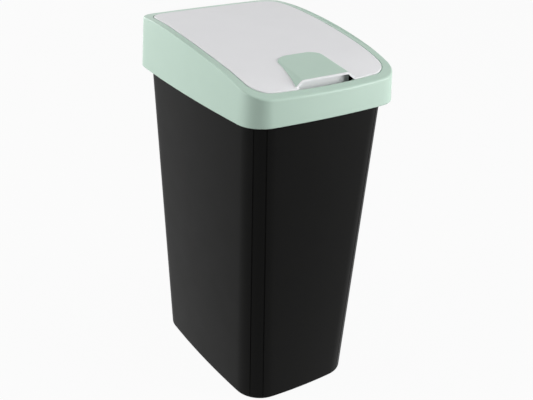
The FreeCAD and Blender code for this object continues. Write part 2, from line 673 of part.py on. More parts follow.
def make_ear():
    """The right ear: round under the pin, with its heel rising at the back."""
    sketch = new_sketch("ear_side", FACING_SIDE, "x", f"{EAR_FACE} - ear_thickness")
    centre = (measure("hinge_place"), measure(HINGE_HEIGHT))
    radius, top = measure("ear_radius"), measure("crown_top + flap_proud")
    rise = math.radians(measure("open_angle - 90"))
    end = centre[0] + measure("heel_reach")
    tangent = (centre[0] + radius * math.sin(rise), centre[1] - radius * math.cos(rise))
    heel_end = (end, tangent[1] + (end - tangent[0]) * math.tan(rise))
    front = centre[0] - radius
    parts = [
        arc(centre, radius, math.pi, 1.5 * math.pi + rise),
        line(tangent, heel_end),
        line(heel_end, (end, top)),
        line((end, top), (front, top)),
        line((front, top), (front, centre[1])),
    ]
    bottom, heel, back, roof, face = (sketch.addGeometry(p, False) for p in parts)
    joints = [
        ("Tangent", bottom, 2, heel, 1),
        ("Coincident", heel, 2, back, 1),
        ("Coincident", back, 2, roof, 1),
        ("Coincident", roof, 2, face, 1),
        ("Tangent", face, 2, bottom, 1),
        ("Vertical", back),
        ("Vertical", face),
        ("Horizontal", roof),
    ]
    for joint in joints:
        sketch.addConstraint(Sketcher.Constraint(*joint))
    constrain(sketch, "DistanceX", -1, 1, bottom, 3, "hinge_place")
    constrain(sketch, "DistanceY", -1, 1, bottom, 3, HINGE_HEIGHT)
    constrain(sketch, "Radius", bottom, "ear_radius")
    constrain(sketch, "DistanceX", -1, 1, back, 1, "hinge_place + heel_reach")
    constrain(sketch, "DistanceY", -1, 1, roof, 1, "crown_top + flap_proud")
    turn = sketch.addConstraint(Sketcher.Constraint("Angle", heel, rise))
    bind(sketch, f"Constraints[{turn}]", "open_angle - 90")
    plate = document.addObject("Part::Extrusion", "ear_plate")
    plate.Base = sketch
    plate.DirMode = "Normal"
    plate.Solid = True
    bind(plate, "LengthFwd", "ear_thickness")
    pin = axle("pin_right", "pin_radius", f"{EAR_FACE} - ear_thickness / 2",
               f"{BOSS_FACE} + bore_depth - pin_end_gap")
    return plate, pin


def make_flap(form):
    panel = make_panel()
    body = grip_form("grip_body", "cover_thickness")
    band = common("grip_lip", form,
                  block("lip_box", "0 - skirt_width / 2", "skirt_width / 2",
                        "0 - lip_place - overrun", "lip_band - lip_place", FLOOR, CEILING))
    raised = cut("grip_raised", fuse("grip_shapes", body, band),
                 under_crown("grip_arch", "0 - flap_drop"))
    hollow = grip_form("grip_hollow", "cover_thickness + grip_wall", "( 0 - lip_place - overrun )")
    opened = cut("flap_opened", fuse("flap_top", panel, raised), hollow)
    wall = block("pocket_box", "0 - pocket_half", "pocket_half", POCKET_PLACE,
                 f"{POCKET_PLACE} + grip_wall", f"{LIP_HEIGHT} - pocket_depth", CEILING)
    at_foot = lies_at(f"{LIP_HEIGHT} - pocket_depth")
    pocket = common("pocket_wall",
                    treat_edges("Fillet", "pocket_rounded", wall, "pocket_rounding",
                                lambda points: goes_along(points) and at_foot(points)),
                    grip_form("pocket_room", "cover_thickness + grip_wall / 2"))
    ear, pin = make_ear()
    beam = block("hinge_beam", f"0 - {EAR_FACE}", EAR_FACE, "hinge_place - flap_rib / 2",
                 "hinge_place + flap_rib / 2", FLOOR, CEILING)
    rib = block("long_rib", "rib_spread - flap_rib / 2", "rib_spread + flap_rib / 2",
                f"{POCKET_PLACE} + grip_wall", "hinge_place", FLOOR, CEILING)
    ribs = cut("flap_ribs", fuse("rib_blanks", beam, rib, mirror("long_rib_left", rib)),
               under_crown("flap_rib_arch", "flap_proud - flap_thickness - flap_rib_depth"))
    under = common("flap_underparts", fuse("underpart_blanks", ear, mirror("ear_left", ear), ribs),
                   under_crown("underpart_arch", "flap_proud - flap_thickness / 2"))
    flap = fuse("flap", opened, pocket, under, pin, mirror("pin_left", pin))
    flap.Label = "flap"
    return flap


# Grip cover: a skin on the ramp, cut to its outline in plan and to the flap below it.

def make_grip_cover(form):
    sketch = new_sketch("cover_plan", FLAT, "z", FLOOR)
    front = "( lip_place - lip_band - cover_clearance )"
    y0, y1, side = -measure(front), -measure("cover_back"), measure("cover_side")
    radius, spread = measure("cover_corner"), math.radians(measure("cover_spread"))
    corner = side - (y1 - y0) * math.tan(spread)
    turn = math.pi / 2 + spread
    shoulder = corner - radius * math.tan(turn / 2)
    leave = (shoulder + radius * math.cos(spread), y1 - radius + radius * math.sin(spread))
    mirrored = (-leave[0], leave[1])
    parts = [
        line((-side, y0), (side, y0)),
        line((side, y0), leave),
        arc((shoulder, y1 - radius), radius, spread, math.pi / 2),
        line((shoulder, y1), (-shoulder, y1)),
        arc((-shoulder, y1 - radius), radius, math.pi / 2, math.pi - spread),
        line(mirrored, (-side, y0)),
    ]
    bottom, right, right_arc, back, left_arc, left = (sketch.addGeometry(p, False) for p in parts)
    joints = [
        ("Coincident", bottom, 2, right, 1),
        ("Tangent", right, 2, right_arc, 1),
        ("Tangent", right_arc, 2, back, 1),
        ("Tangent", back, 2, left_arc, 1),
        ("Tangent", left_arc, 2, left, 1),
        ("Coincident", left, 2, bottom, 1),
        ("Horizontal", bottom),
        ("Horizontal", back),
        ("Equal", right_arc, left_arc),
    ]
    for joint in joints:
        sketch.addConstraint(Sketcher.Constraint(*joint))
    constrain(sketch, "DistanceY", bottom, 1, -1, 1, front)
    constrain(sketch, "DistanceY", back, 1, -1, 1, "cover_back")
    constrain(sketch, "DistanceX", -1, 1, bottom, 2, "cover_side")
    constrain(sketch, "DistanceX", bottom, 1, -1, 1, "cover_side")
    constrain(sketch, "Radius", right_arc, "cover_corner")
    centre = (f"cover_side - ( {front} - cover_back ) * tan( cover_spread )"
              " - cover_corner * tan( 45 + cover_spread / 2 )")
    constrain(sketch, "DistanceX", -1, 1, right_arc, 3, centre)
    constrain(sketch, "DistanceX", left_arc, 3, -1, 1, centre)
    blank = document.addObject("Part::Extrusion", "cover_blank")
    blank.Base = sketch
    blank.DirMode = "Normal"
    blank.Solid = True
    bind(blank, "LengthFwd", f"{CEILING} - {FLOOR}")
    skin = cut("cover_skin", common("cover_top", form, blank),
               grip_form("cover_room", "cover_thickness - cover_clearance", "( 0 - lip_place - overrun )"))
    cover = cut("grip_cover", skin, under_crown("cover_arch", "flap_proud + cover_clearance"))
    cover.Label = "grip_cover"
    return cover


form = grip_form("grip_outside", "0")
PIECES = [make_bucket(), make_lid_frame(), make_flap(form), make_grip_cover(form)]
document.recompute()

for item in document.Objects:
    if "Invalid" in item.State or "Error" in item.State:
        raise RuntimeError(f"{item.Name} did not build")

os.makedirs("parts", exist_ok=True)
for piece in PIECES:
    shape = piece.Shape
    if shape.isNull() or not shape.isValid():
        raise RuntimeError(f"{piece.Label} has no sound shape")
    box = shape.optimalBoundingBox()
    print(piece.Label, len(shape.Solids), "solid,", len(shape.Faces), "faces,",
          round(shape.Volume / 1000, 1), "cubic centimetres,",
          [round(edge, 1) for edge in (box.XMin, box.XMax, box.YMin, box.YMax, box.ZMin, box.ZMax)])
    shape.exportStep(f"parts/{piece.Label}.step")
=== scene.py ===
# %% [markdown]
# # A flip-lid kitchen bin
#
# The bin is four injection-moulded pieces: a black bucket, a mint frame that lifts off, a
# white flap hinged in the frame and a mint cover on the flap's finger grip. This script
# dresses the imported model: it draws each moulding again with soft edges and gives it the
# satin surface of moulded polypropylene.

# %% Load the frame
import math

import bmesh
import bpy
from mathutils import Matrix, Vector


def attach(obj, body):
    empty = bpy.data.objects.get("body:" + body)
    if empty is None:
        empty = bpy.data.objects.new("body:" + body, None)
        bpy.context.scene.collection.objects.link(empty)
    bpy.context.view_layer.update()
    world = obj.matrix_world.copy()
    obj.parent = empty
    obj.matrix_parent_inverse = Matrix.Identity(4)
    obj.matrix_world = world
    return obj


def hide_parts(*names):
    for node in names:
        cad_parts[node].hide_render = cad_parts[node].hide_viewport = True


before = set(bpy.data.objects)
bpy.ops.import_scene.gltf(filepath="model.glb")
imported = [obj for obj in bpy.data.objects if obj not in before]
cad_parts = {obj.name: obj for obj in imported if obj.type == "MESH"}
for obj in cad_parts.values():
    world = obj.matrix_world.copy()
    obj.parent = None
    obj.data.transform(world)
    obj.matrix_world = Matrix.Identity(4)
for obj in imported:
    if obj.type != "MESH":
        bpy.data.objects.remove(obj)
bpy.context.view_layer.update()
MM = 0.001

# %% [markdown]
# ## Camera
#
# The photograph was taken from the front left, a little above the lid. A long lens keeps
# the verticals nearly parallel, and the camera leans by less than two degrees.

# %% Place the camera
AZIMUTH, ELEVATION, ROLL = (math.radians(angle) for angle in (-33.78, 26.1, 1.88))
TARGET = Vector((15.16, 0, 250.57)) * MM
DISTANCE = 1316.6 * MM
SENSOR_WIDTH = 36.0
FOCAL_PIXELS, PHOTO_WIDTH = 877.4, 533


def direction(azimuth, elevation):
    """The way to a place round the bin, by its angle from the front and its height."""
    return Vector((
        math.sin(azimuth) * math.cos(elevation),
        -math.cos(azimuth) * math.cos(elevation),
        math.sin(elevation),
    ))


back = direction(AZIMUTH, ELEVATION)
level_right = Vector((math.cos(AZIMUTH), math.sin(AZIMUTH), 0))
level_up = back.cross(level_right)
right = level_right * math.cos(ROLL) + level_up * math.sin(ROLL)
up = level_up * math.cos(ROLL) - level_right * math.sin(ROLL)
turned = Matrix((right, up, back)).transposed().to_4x4()

camera_data = bpy.data.cameras.new("camera")
camera_data.sensor_width = SENSOR_WIDTH
camera_data.lens = FOCAL_PIXELS * SENSOR_WIDTH / PHOTO_WIDTH
camera = bpy.data.objects.new("camera", camera_data)
camera.matrix_world = Matrix.Translation(TARGET + back * DISTANCE) @ turned
bpy.context.scene.collection.objects.link(camera)
bpy.context.scene.camera = camera
print("camera at", [round(value, 3) for value in camera.matrix_world.translation])

# %% [markdown]
# ## Material helpers
#
# Colours are written as sRGB hex values, as a paint chart gives them, and turned linear by
# one function. A second function adds a shader node with its settings and links.

# %% Colours and nodes


def linear(code):
    """The linear colour of an sRGB hex value."""
    shares = [int(code[place:place + 2], 16) / 255 for place in (0, 2, 4)]
    colour = [c / 12.92 if c <= 0.04045 else ((c + 0.055) / 1.055) ** 2.4 for c in shares]
    return (*colour, 1.0)


def emptied_tree(owner):
    """The node tree of a material or a world, without the nodes it starts with."""
    owner.use_nodes = True
    owner.node_tree.nodes.clear()
    return owner.node_tree


def add(tree, kind, inputs=None, **settings):
    """Add a node. An input is a value, or another node's output socket."""
    node = tree.nodes.new(kind)
    for name, value in settings.items():
        setattr(node, name, value)
    for name, value in (inputs or {}).items():
        if isinstance(value, bpy.types.NodeSocket):
            tree.links.new(value, node.inputs[name])
        else:
            node.inputs[name].default_value = value
    return node


# %% [markdown]
# ## Moulded polypropylene
#
# All four pieces are polypropylene from a fine-eroded mould: satin, slightly waxy, with a
# grain finer than a pixel of the photograph. The same recipe serves each colour: a fine
# grain and a very shallow waviness of the wall from its cooling, and a roughness that
# changes a little from place to place. The white has little gloss, so that the flap keeps
# its tone from the sides where it mirrors a lamp.

# %% A recipe for moulded plastic
GRAIN_MM, GRAIN_HEIGHT_MM = 0.7, 0.02
WAVE_MM, WAVE_HEIGHT_MM = 90.0, 0.25
PATCH_MM, ROUGHNESS_SPREAD = 35.0, 0.04
PLASTIC_IOR = 1.49


def noise(tree, place, size_mm, detail):
    """A noise whose features have a size in millimetres."""
    inputs = {"Vector": place, "Scale": 1000 / size_mm, "Detail": detail}
    return add(tree, "ShaderNodeTexNoise", inputs).outputs["Fac"]


def moulded(name, tone, shade, roughness, level):
    """A moulded satin plastic that varies between two close tones."""
    material = bpy.data.materials.new(name)
    tree = emptied_tree(material)
    place = add(tree, "ShaderNodeTexCoord").outputs["Object"]
    patches = noise(tree, place, PATCH_MM, 3.0)
    colour = add(tree, "ShaderNodeMix", {
        "Factor": patches,
        "A": linear(tone),
        "B": linear(shade),
    }, data_type="RGBA")
    rough = add(tree, "ShaderNodeMapRange", {
        "Value": patches,
        "To Min": roughness - ROUGHNESS_SPREAD,
        "To Max": roughness + ROUGHNESS_SPREAD,
    })
    waviness = add(tree, "ShaderNodeBump", {
        "Height": noise(tree, place, WAVE_MM, 1.0),
        "Strength": 1.0,
        "Distance": WAVE_HEIGHT_MM * MM,
    })
    texture = add(tree, "ShaderNodeBump", {
        "Height": noise(tree, place, GRAIN_MM, 2.0),
        "Strength": 1.0,
        "Distance": GRAIN_HEIGHT_MM * MM,
        "Normal": waviness.outputs["Normal"],
    })
    surface = add(tree, "ShaderNodeBsdfPrincipled", {
        "Base Color": colour.outputs["Result"],
        "Roughness": rough.outputs["Result"],
        "Normal": texture.outputs["Normal"],
        "IOR": PLASTIC_IOR,
        "Specular IOR Level": level,
    })
    add(tree, "ShaderNodeOutputMaterial", {"Surface": surface.outputs["BSDF"]})
    return material


BLACK = moulded("black_polypropylene", "101010", "121211", 0.42, 0.055)
MINT = moulded("mint_polypropylene", "BDD5C7", "B9D1C3", 0.42, 0.45)
WHITE = moulded("white_polypropylene", "F5F5F7", "F2F2F4", 0.5, 0.04)
print("plastics:", [material.name for material in (BLACK, MINT, WHITE)])

# %% [markdown]
# ## Drawing a moulding's outline
#
# Every moulding here has the same kind of plan: a rectangle with round corners whose sides
# bulge a little. Seen from above it is eight arcs that meet smoothly, so a vertex that is
# spun round the eight arc centres in turn draws it, as a pen on a string would.

# %% The pen
SIDE_STEPS, CORNER_STEPS, END_STEPS = 30, 12, 14
WIDE_SEGMENTS, NARROW_SEGMENTS = 6, 4


class Plan:
    """A plan outline: half width, half depth, corner radius, bulges and shift to the back."""

    def __init__(self, half_width, half_depth, corner, side_bow, end_bow, shift=0.0):
        across = half_width - side_bow - corner
        along = half_depth - end_bow - corner
        side = ((side_bow + corner) ** 2 + along ** 2 - corner ** 2) / (2 * side_bow)
        end = ((end_bow + corner) ** 2 + across ** 2 - corner ** 2) / (2 * end_bow)
        side_middle, end_middle = half_width - side, half_depth - end
        side_turn = 2 * math.atan2(along, across - side_middle)
        end_turn = 2 * math.atan2(across, along - end_middle)
        corner_turn = (math.pi - side_turn - end_turn) / 2
        self.start = -side_turn / 2
        self.arcs = [
            (side_middle, shift, side, side_turn, SIDE_STEPS),
            (across, along + shift, corner, corner_turn, CORNER_STEPS),
            (0, end_middle + shift, end, end_turn, END_STEPS),
            (-across, along + shift, corner, corner_turn, CORNER_STEPS),
            (-side_middle, shift, side, side_turn, SIDE_STEPS),
            (-across, shift - along, corner, corner_turn, CORNER_STEPS),
            (0, shift - end_middle, end, end_turn, END_STEPS),
            (across, shift - along, corner, corner_turn, CORNER_STEPS),
        ]


def ring(bm, plan, inset, height):
    """Draw a closed ring and return its vertices in drawing order."""
    x, y, radius = plan.arcs[0][:3]
    reach = radius - inset
    start = x + reach * math.cos(plan.start), y + reach * math.sin(plan.start), height
    drawn = [bm.verts.new(start)]
    for x, y, _, turn, steps in plan.arcs:
        before = len(bm.verts)
        bmesh.ops.spin(bm, geom=[drawn[-1]], cent=(x, y, height), axis=(0, 0, 1), angle=turn,
                       steps=steps)
        bm.verts.ensure_lookup_table()
        drawn += bm.verts[before:]
    bmesh.ops.weld_verts(bm, targetmap={drawn[-1]: drawn[0]})
    return drawn[:-1]


def edges_of(*loops):
    """The edges between the vertices of a ring, for one ring after another."""
    found = []
    for loop in loops:
        members = set(loop)
        nearby = dict.fromkeys(edge for v in loop for edge in v.link_edges)
        found += [edge for edge in nearby if members.issuperset(edge.verts)]
    return found


def bridge(bm, rings, closed=False, apart=100.0):
    """Skin a stack of rings with faces, each ring to the next.

    The rings are pulled apart while they are joined, so that each vertex meets its partner.
    """
    for number, loop in enumerate(rings):
        bmesh.ops.translate(bm, vec=(0, 0, number * apart), verts=loop)
    following = rings[1:] + rings[:1] if closed else rings[1:]
    for first, second in zip(rings, following):
        bmesh.ops.bridge_loops(bm, edges=edges_of(first, second))
    for number, loop in enumerate(rings):
        bmesh.ops.translate(bm, vec=(0, 0, -number * apart), verts=loop)


def cap(bm, *loops):
    """Close rings with one face each."""
    for loop in loops:
        bmesh.ops.contextual_create(bm, geom=edges_of(loop))


def soften(bm, edges, width, segments):
    """Round edges by a width in millimetres."""
    bmesh.ops.bevel(bm, geom=edges, offset=width, offset_type="OFFSET", segments=segments,
                    profile=0.5, affect="EDGES", clamp_overlap=True, material=-1)


# %% [markdown]
# ## From a drawing to a piece
#
# The pieces are drawn in millimetres and scaled once at the end. Faces are shaded smooth,
# except across edges that a mould leaves sharp, and a weighted-normal modifier keeps the
# broad faces flat beside their narrow roundings.

# %% Finish a piece
SHARP = math.radians(24)
WELD, SLIVER = 0.004, 0.002


def as_object(name, bm):
    """Give a drawing an object of its own, still in millimetres."""
    bmesh.ops.recalc_face_normals(bm, faces=bm.faces)
    mesh = bpy.data.meshes.new(name)
    bm.to_mesh(mesh)
    bm.free()
    obj = bpy.data.objects.new(name, mesh)
    bpy.context.scene.collection.objects.link(obj)
    return obj


def finish_piece(obj, body, material, slot, *nodes):
    """Scale, shade and paint a piece, and say what it rides on and replaces."""
    bm = bmesh.new()
    bm.from_mesh(obj.data)
    bmesh.ops.remove_doubles(bm, verts=bm.verts, dist=WELD)
    bmesh.ops.dissolve_degenerate(bm, edges=bm.edges, dist=SLIVER)
    bmesh.ops.scale(bm, vec=(MM, MM, MM), verts=bm.verts)
    for face in bm.faces:
        face.smooth = True
    for edge in bm.edges:
        edge.smooth = edge.is_manifold and edge.calc_face_angle() < SHARP
    volume = bm.calc_volume(signed=True) / (10 * MM) ** 3
    loose = sum(not edge.is_manifold for edge in bm.edges)
    bm.to_mesh(obj.data)
    bm.free()
    weighted = obj.modifiers.new("broad_faces_flat", "WEIGHTED_NORMAL")
    weighted.keep_sharp = True
    obj.data.materials.clear()
    obj.data.materials.append(material)
    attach(obj, body)
    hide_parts(*nodes)
    places = list(zip(*(v.co for v in obj.data.vertices)))
    box = [round(pick(values) / MM, 1) for pick in (min, max) for values in places]
    print(obj.name, len(obj.data.polygons), "faces,", round(volume, 1), "cubic centimetres,",
          loose, "open edges,", box)


# %% [markdown]
# ## Solids that are joined and cut
#
# The flap, its grip and the fittings under the lid are plain bodies that are joined or cut
# out of one another, as the parting faces of their moulds are.

# %% Bodies, unions and cuts
SLICE, ON_PLANE = 6.0, 0.001
ROD_SEGMENTS = 48


def score(bm, axis, place):
    """Cut a drawing in two at a place from left to right, "x", or front to back, "y"."""
    normal = Vector((1, 0, 0)) if axis == "x" else Vector((0, 1, 0))
    bmesh.ops.bisect_plane(bm, geom=bm.verts[:] + bm.edges[:] + bm.faces[:], dist=ON_PLANE,
                           plane_co=normal * place, plane_no=normal)


def slice_along(bm, low, high):
    """Cut a drawing across, every few millimetres, so that it can follow the arch."""
    count = math.ceil((high - low) / SLICE)
    for number in range(1, count):
        score(bm, "y", low + (high - low) * number / count)


def cube(low, high):
    """A drawing of a box between two corners."""
    bm = bmesh.new()
    bmesh.ops.create_cube(bm, size=1)
    size = Vector(high) - Vector(low)
    bmesh.ops.scale(bm, vec=size, verts=bm.verts)
    bmesh.ops.translate(bm, vec=Vector(low) + size / 2, verts=bm.verts)
    return bm


def side_edges(bm, test):
    """The edges on a box's left and right side whose ends both pass a test."""
    return [edge for edge in bm.edges if all(test(v.co) for v in edge.verts)
            and edge.verts[0].co.x == edge.verts[1].co.x]


def block(low, high):
    """A box between two corners."""
    return as_object("block", cube(low, high))


def arched_block(low, high):
    """A box whose heights are counted from the arch of the lid."""
    bm = cube(low, high)
    slice_along(bm, low[1], high[1])
    for v in bm.verts:
        v.co.z += crown(v.co.y)
    return as_object("arched_block", bm)


def rod(x, radius, length):
    """A round bar across the lid, from a place outwards."""
    bm = bmesh.new()
    bmesh.ops.create_cone(bm, cap_ends=True, segments=ROD_SEGMENTS, radius1=radius,
                          radius2=radius, depth=abs(length))
    turn = Matrix.Rotation(math.pi / 2, 3, "Y")
    bmesh.ops.rotate(bm, cent=(0, 0, 0), matrix=turn, verts=bm.verts)
    bmesh.ops.translate(bm, vec=(x + length / 2, HINGE_Y, HINGE_Z), verts=bm.verts)
    return as_object("rod", bm)


def combine(base, tool, operation):
    """Join a tool to a body, or cut it out, and drop the tool."""
    boolean = base.modifiers.new("combine", "BOOLEAN")
    boolean.operation, boolean.object, boolean.solver = operation, tool, "EXACT"
    graph = bpy.context.evaluated_depsgraph_get()
    base.data = bpy.data.meshes.new_from_object(base.evaluated_get(graph))
    base.modifiers.clear()
    bpy.data.objects.remove(tool)
    return base


def join(base, *tools):
    """Make several bodies one."""
    for tool in tools:
        combine(base, tool, "UNION")
    return base


def cut(base, *tools):
    """Cut several bodies out of one."""
    for tool in tools:
        combine(base, tool, "DIFFERENCE")
    return base


def gather(base, *fittings):
    """Let a body carry small closed fittings that are sunk into its wall."""
    bm = bmesh.new()
    for obj in (base, *fittings):
        bm.from_mesh(obj.data)
    bm.to_mesh(base.data)
    bm.free()
    for obj in fittings:
        bpy.data.objects.remove(obj)
    return base


# %% [markdown]
# ## Bucket
#
# One deep moulding. It tapers so that it leaves its mould and so that bins stack, stands on
# a ring round a raised floor, and carries a flange with a turned-down edge round its mouth.
# Ten rings, from the middle of the underside round to the floor inside, give its section.

# %% Draw the bucket
RIM_TOP = 462.0
BUCKET_WALL = 1.9
FOOT = Plan(93.2, 138.7, 40.6, 3.1, 1.9, shift=3.5)
MOUTH = Plan(111.2, 155.8, 35.0, 3.9, 3.3)
FLANGE = Plan(117.47, 160.67, 30.67, 3.9, 3.3)
FLANGE_SKIRT, FLANGE_THICKNESS, FLANGE_WALL = 9.0, 2.2, 1.8
STANDING_RING, RAISED, FLOOR_TOP = 10.0, 2.4, 5.0
FOOT_ROUNDING, RIM_ROUNDING = 3.0, 0.5

bm = bmesh.new()
rings = [
    ring(bm, FOOT, STANDING_RING, RAISED),
    ring(bm, FOOT, STANDING_RING, 0),
    ring(bm, FOOT, 0, 0),
    ring(bm, MOUTH, 0, RIM_TOP - FLANGE_THICKNESS),
    ring(bm, FLANGE, FLANGE_WALL, RIM_TOP - FLANGE_THICKNESS),
    ring(bm, FLANGE, FLANGE_WALL, RIM_TOP - FLANGE_SKIRT),
    ring(bm, FLANGE, 0, RIM_TOP - FLANGE_SKIRT),
    ring(bm, FLANGE, 0, RIM_TOP),
    ring(bm, MOUTH, BUCKET_WALL, RIM_TOP),
    ring(bm, FOOT, BUCKET_WALL, FLOOR_TOP),
]
bridge(bm, rings)
cap(bm, rings[0], rings[-1])
foot_edges = edges_of(rings[2], rings[9])
rim_edges = edges_of(rings[1], *rings[5:9])
soften(bm, foot_edges, FOOT_ROUNDING, WIDE_SEGMENTS)
soften(bm, rim_edges, RIM_ROUNDING, NARROW_SEGMENTS)
bucket = as_object("bucket_moulding", bm)

# %% [markdown]
# Two hair lines run down each rounded corner, where inserts of the mould meet. Thin rods
# laid along the wall cut them. Each corner has them at the same steps from the bin's side,
# so the four corners mirror one another.

# %% Score the corners
LINE_RADIUS, LINE_SUNK, LINE_SEGMENTS = 0.9, 0.4, 12
LINE_STEPS = (5, 9)
LINE_FOOT, LINE_TOP = 6, 452

bm = bmesh.new()
low_ring = ring(bm, FOOT, LINE_SUNK, LINE_FOOT)
high_ring = ring(bm, MOUTH, LINE_SUNK, LINE_TOP)
half_ring = SIDE_STEPS + CORNER_STEPS + END_STEPS + CORNER_STEPS
numbers = [half + place for half in (0, half_ring) for step in LINE_STEPS
           for place in (SIDE_STEPS + step, half_ring - step)]
lines = [(low_ring[number].co.copy(), high_ring[number].co.copy()) for number in numbers]
bm.clear()
for low, high in lines:
    made = bmesh.ops.create_cone(bm, cap_ends=True, segments=LINE_SEGMENTS, radius1=LINE_RADIUS,
                                 radius2=LINE_RADIUS, depth=(high - low).length)
    turn = (high - low).to_track_quat("Z", "Y").to_matrix()
    bmesh.ops.rotate(bm, cent=(0, 0, 0), matrix=turn, verts=made["verts"])
    bmesh.ops.translate(bm, vec=(low + high) / 2, verts=made["verts"])
cut(bucket, as_object("corner_lines", bm))
finish_piece(bucket, "bucket", BLACK, "bucket_plastic", "bucket")

# %% [markdown]
# ## The arch of the lid
#
# From the side the lid is an arch of three arcs: tight over the back, nearly flat over the
# middle and tight again where it falls to the front. Everything on the lid follows it.

# %% The arch
CROWN_TOP, CROWN_APEX = 513.8, 93.4
REAR_RADIUS, MIDDLE_RADIUS, FRONT_RADIUS = 450.0, 1500.0, 380.0
REAR_TURN, FRONT_TURN = math.radians(2.9), math.radians(8.6)

down_from_rear = Vector((math.sin(REAR_TURN), -math.cos(REAR_TURN)))
up_to_front = Vector((-math.sin(FRONT_TURN), math.cos(FRONT_TURN)))
REAR_CENTRE = Vector((CROWN_APEX, CROWN_TOP - REAR_RADIUS))
MIDDLE_CENTRE = REAR_CENTRE + (MIDDLE_RADIUS - REAR_RADIUS) * down_from_rear
FRONT_CENTRE = MIDDLE_CENTRE + (MIDDLE_RADIUS - FRONT_RADIUS) * up_to_front
REAR_LIMIT = REAR_CENTRE.x - REAR_RADIUS * math.sin(REAR_TURN)
FRONT_LIMIT = MIDDLE_CENTRE.x - MIDDLE_RADIUS * math.sin(FRONT_TURN)


def crown(y):
    """The height of the arch at a place from front to back."""
    if y > REAR_LIMIT:
        centre, radius = REAR_CENTRE, REAR_RADIUS
    elif y > FRONT_LIMIT:
        centre, radius = MIDDLE_CENTRE, MIDDLE_RADIUS
    else:
        centre, radius = FRONT_CENTRE, FRONT_RADIUS
    return centre.y + math.sqrt(radius ** 2 - (y - centre.x) ** 2)


print("arch heights:", [(y, round(crown(y), 1)) for y in (-165, 0, 165)])

# %% [markdown]
# ## Lid frame
#
# Skirt, land, rebate, ledge and collar are one wall folded back on itself, so a closed
# stack of rings draws all of it. Each upper ring starts flat and is then set on the arch.
# The edge between skirt and land is a tight roll, a little wider at the front than along
# the sides. Beside the middle the land leans towards the flap, which the photograph shows
# by a dark band inside a raised outer edge.

# %% Sizes of the lid frame
HALF_WIDTH, HALF_DEPTH = 121.8, 165.0
FLAP_HALF_WIDTH, FLAP_HALF_DEPTH, FLAP_SHIFT = 107.2, 148.0, -3.0
SKIRT = Plan(HALF_WIDTH, HALF_DEPTH, 35.0, 3.9, 3.3)
FLAP = Plan(FLAP_HALF_WIDTH, FLAP_HALF_DEPTH, 28.0, 3.2, 3.0, shift=FLAP_SHIFT)
SKIRT_FOOT, SKIRT_TOP = 440.0, 520.0
DRAFT = math.tan(math.radians(2.95))
SKIRT_INSET = (SKIRT_TOP - SKIRT_FOOT) * DRAFT
FRAME_WALL, RISER_WALL = 2.4, 2.2
REBATE_INSET, THROAT_INSET = -1.2, 3.6
LEDGE_DROP, LEDGE_THICKNESS = 2.5, 2.2
COLLAR_FOOT = 450.0
HINGE_Y, HINGE_Z = 107.5, 505.2
STOP_Y, STOP_THICKNESS = 102.1, 2.4
CHAMBER_FLOOR, RELIEF_FLOOR = 465.5, 470.2
RELIEF_HALF, RELIEF_BACK = 42.0, -140.0
SIDE_ROLL, FRONT_ROLL, ROLL_STEPS = 2.2, 2.8, 6
CREST_LIFT, LAND_DIP, LEAN_REACH = 1.8, 1.1, 150.0
SKIRT_ROUNDING, COLLAR_ROUNDING, LAND_ROUNDING = 1.3, 0.6, 0.5
SLIDES = 4


def slide_up(low, high, rise):
    """Slide each vertex of a ring down its own wall line until it meets the arch."""
    for foot, top in zip(low, high):
        place = foot.co.copy()
        for _ in range(SLIDES):
            share = (crown(place.y) + rise - foot.co.z) / (SKIRT_TOP - foot.co.z)
            place = foot.co.lerp(top.co, share)
        top.co = place


def set_on_arch(rise, *loops):
    """Set rings on the arch, raised or lowered by an amount."""
    for loop in loops:
        for v in loop:
            v.co.z = crown(v.co.y) + rise


def lean(y):
    """How far the land leans towards the flap: fully beside the middle, not at the ends."""
    return max(0, 1 - (y / LEAN_REACH) ** 2) ** 2


def step_down(x, y, margin):
    """The floor under a place where the ledge drops, or None where it follows the arch."""
    if y > STOP_Y - margin * STOP_THICKNESS:
        return CHAMBER_FLOOR - margin * LEDGE_THICKNESS
    if abs(x) < RELIEF_HALF + margin * RISER_WALL and y < RELIEF_BACK:
        return RELIEF_FLOOR - margin * LEDGE_THICKNESS
    return None


# %% Draw the lid frame
bm = bmesh.new()
foot_ring = ring(bm, SKIRT, 0, SKIRT_FOOT)
crest = ring(bm, SKIRT, SKIRT_INSET, SKIRT_TOP)
slide_up(foot_ring, crest, 0)
for v in crest:
    v.co.z += CREST_LIFT * lean(v.co.y)
roll = []
for step in range(ROLL_STEPS + 1):
    share = step / ROLL_STEPS
    loop = ring(bm, SKIRT, 0, SKIRT_TOP + step)
    for foot, edge, v in zip(foot_ring, crest, loop):
        outward = Vector((foot.co.x - edge.co.x, foot.co.y - edge.co.y, 0)).normalized()
        width = SIDE_ROLL + (FRONT_ROLL - SIDE_ROLL) * max(0, -outward.y) ** 2
        on_wall = edge.co + outward * width * DRAFT - Vector((0, 0, width))
        on_land = edge.co - outward * width
        on_land.z = crown(on_land.y) - LAND_DIP * lean(on_land.y)
        v.co = on_wall.lerp(edge.co, share).lerp(edge.co.lerp(on_land, share), share)
    roll.append(loop)

